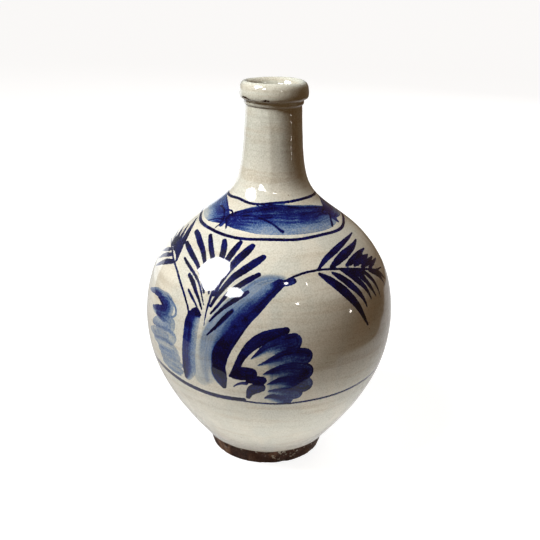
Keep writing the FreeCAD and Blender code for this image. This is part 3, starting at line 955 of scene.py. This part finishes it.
def backdrop():
    """A pale round floor that curves up into a wall on every side."""
    profile = [(1.0, 0.0), (FLOOR_RADIUS, 0.0)]
    for bend in np.linspace(0, math.pi / 2, 13)[1:]:
        profile.append((FLOOR_RADIUS + SWEEP * math.sin(bend), SWEEP * (1 - math.cos(bend))))
    profile.append((FLOOR_RADIUS + SWEEP, WALL_TOP))
    points = [(r * math.cos(t), r * math.sin(t), z) for r, z in profile for t in circle(FLOOR_SIDES)]
    points.append((0.0, 0.0, 0.0))
    faces = [(len(points) - 1, (k + 1) % FLOOR_SIDES, k) for k in range(FLOOR_SIDES)]
    faces += grid_faces(len(profile), FLOOR_SIDES)
    mesh = bpy.data.meshes.new("backdrop")
    mesh.from_pydata(points, [], faces)
    mesh.shade_smooth()
    floor = link("backdrop", mesh)
    shader = Shader("pale_floor")
    mesh.materials.append(shader.finish_as(
        Base_Color=shader.mix(shader.grain(30, 3), (0.30, 0.30, 0.295), (0.33, 0.33, 0.325)),
        Roughness=0.9,
        Emission_Color=(1.0, 1.0, 1.0, 1.0),
        Emission_Strength=FLOOR_GLOW))
    floor.visible_diffuse = floor.visible_glossy = floor.visible_shadow = False


CARD_REACH = 1.4         # from the vase's middle to the cards that it mirrors
MIDDLE = Vector((0, 0, 0.155))
UNDER_FLOOR = -0.001     # height of the cards that lie flat
# What the glaze mirrors, as corners of (azimuth from the front, elevation).
WINDOW = [(-87, 31), (-88, 42), (-82, 50), (-72, 53), (-61, 54), (-53, 49), (-53, 40),
          (-57, 30), (-64, 25), (-76, 28)]
SIDE_PANE = [(-43, 28), (-42, 36), (-34, 38), (-26, 36), (-29, 31), (-37, 26)]
PANE_STRENGTH = 26.0
LAMPS = [(20, 44, 1.8), (43, 39, 1.0), (27, 22, 1.8), (76, 0, 1.0)]     # with half their spread
LAMP_SIDES = 12
# Walls far to the left: azimuth of the near edge, lowest and highest elevation, strength.
PALE_WALLS = (("pale_wall", -132, -14, 3, 1.3), ("upper_wall", -95, 3, 34, 0.2))
WALL_FAR_EDGE = -190
# The bright sheet that the vase stands on, as points of the floor.
SHEET = [(-0.38, -0.2), (0.0, -0.18), (0.06, -0.17), (0.14, -0.19), (0.24, -0.16), (0.31, -0.09),
         (0.38, 0.13), (0.5, 0.33), (0.75, 0.63), (-0.65, 0.63), (-0.65, 0.44), (-0.42, 0.18),
         (-0.49, 0.04), (-0.44, -0.08)]
SHEET_STRENGTH = 0.55
GLOW = (0.09, 0.165)     # inner and outer radius of the lit floor round the foot
GLOW_SIDES = 32
GLOW_STRENGTH = 2.7


def toward(azimuth, elevation):
    """The unit vector in a direction, in degrees from the front and up from the floor."""
    a, e = math.radians(azimuth), math.radians(elevation)
    return Vector((math.sin(a) * math.cos(e), -math.cos(a) * math.cos(e), math.sin(e)))


def card(name, points, faces, colour, strength, mirrored=True):
    """A glowing card that the camera doesn't see: mirrored in the glaze, or lighting it."""
    material = bpy.data.materials.new(name)
    material.use_nodes = True
    surface = material.node_tree.nodes["Principled BSDF"]
    surface.inputs["Base Color"].default_value = (0, 0, 0, 1)
    surface.inputs["Emission Color"].default_value = (*colour, 1)
    surface.inputs["Emission Strength"].default_value = strength
    mesh = bpy.data.meshes.new(name)
    mesh.from_pydata(points, [], faces)
    mesh.materials.append(material)
    sheet = link(name, mesh)
    sheet.visible_camera = sheet.visible_shadow = sheet.visible_transmission = False
    sheet.visible_diffuse = not mirrored
    sheet.visible_glossy = mirrored


def window_cards():
    """The window on the left, the pane beside it and the small lamps."""
    for name, corners in (("window", WINDOW), ("side_pane", SIDE_PANE)):
        points = [MIDDLE + CARD_REACH * toward(*corner) for corner in corners]
        card(name, points, [tuple(range(len(points)))], (1.0, 1.0, 1.0), PANE_STRENGTH)
    for k, (azimuth, elevation, spread) in enumerate(LAMPS):
        squeeze = math.cos(math.radians(elevation))
        points = [MIDDLE + CARD_REACH * toward(azimuth + spread * math.cos(t) / squeeze,
                                               elevation + spread * math.sin(t))
                  for t in circle(LAMP_SIDES)]
        card(f"lamp_{k}", points, [tuple(range(LAMP_SIDES))], (1.0, 0.95, 0.9), PANE_STRENGTH)


def wall_cards():
    """The dim walls behind the window, curved round the vase."""
    for name, near, low, high, strength in PALE_WALLS:
        turns, rises = np.linspace(WALL_FAR_EDGE, near, 12), np.linspace(low, high, 7)
        points = [MIDDLE + CARD_REACH * toward(t, e) for e in rises for t in turns]
        faces = grid_faces(len(rises), len(turns), closed=False)
        card(name, points, faces, (0.95, 0.97, 1.0), strength)


def floor_cards():
    """The sheet that the glaze mirrors, and the ring that lights the glaze from below."""
    card("sheet", [(x, y, UNDER_FLOOR) for x, y in SHEET], [tuple(range(len(SHEET)))],
         (1.0, 0.98, 0.96), SHEET_STRENGTH)
    points = [(r * math.cos(t), r * math.sin(t), UNDER_FLOOR) for r in GLOW for t in circle(GLOW_SIDES)]
    card("floor_glow", points, grid_faces(2, GLOW_SIDES), (1.0, 1.0, 1.0), GLOW_STRENGTH, mirrored=False)


ROOM_COLOUR = (1.0, 0.58, 0.28, 1)
ROOM_STRENGTH = 0.11
AREA_LIGHTS = (          # name, azimuth, elevation, metres away, size, watts
    ("key", -59, 52, 1.5, 0.6, 33.5),
    ("back_fill", 155, 30, 2.0, 1.2, 14.0),
)


def lights():
    """The dim warm room all round, and the two soft lamps that light the vase."""
    world = bpy.data.worlds.new("dim_room")
    bpy.context.scene.world = world
    world.use_nodes = True
    background = world.node_tree.nodes["Background"]
    background.inputs["Color"].default_value = ROOM_COLOUR
    background.inputs["Strength"].default_value = ROOM_STRENGTH
    for name, azimuth, elevation, reach, size, power in AREA_LIGHTS:
        light = bpy.data.lights.new(name, "AREA")
        light.shape = "DISK"
        light.size = size
        light.energy = power
        lamp = link(name, light)
        lamp.location = MIDDLE + reach * toward(azimuth, elevation)
        lamp.rotation_euler = (-toward(azimuth, elevation)).to_track_quat("-Z", "Y").to_euler()
        lamp.visible_glossy = False


CAMERA_PLACE = (0.0, -0.62513, 0.3756)
CAMERA_PITCH = 19.8      # degrees down
CAMERA_ROLL = 1.36       # degrees
LENS = 55.19


def camera():
    """The camera where the photo's own perspective puts it."""
    data = bpy.data.cameras.new("camera")
    data.lens = LENS
    data.sensor_width = 36
    data.clip_start = 0.01
    eye = link("camera", data)
    tilt = Matrix.Rotation(math.radians(90 - CAMERA_PITCH), 4, "X")
    roll = Matrix.Rotation(math.radians(CAMERA_ROLL), 4, "Z")
    eye.matrix_world = Matrix.Translation(CAMERA_PLACE) @ tilt @ roll
    bpy.context.scene.camera = eye


# ============================================= build
bpy.context.scene.view_settings.view_transform = "Standard"
CLAY = fired_clay("fired_clay", (0.013, 0.005, 0.003), (0.055, 0.022, 0.012), (0.27, 0.15, 0.09))
SLIP = fired_clay("joining_slip", (0.06, 0.035, 0.02), (0.17, 0.11, 0.07), (0.33, 0.25, 0.18))
finish_cad_nodes(CLAY, SLIP)
glaze_pieces(painted_glaze(), CLAY)
foot_piece(CLAY)
lining_piece(plain_glaze())
backdrop()
window_cards()
wall_cards()
floor_cards()
lights()
camera()
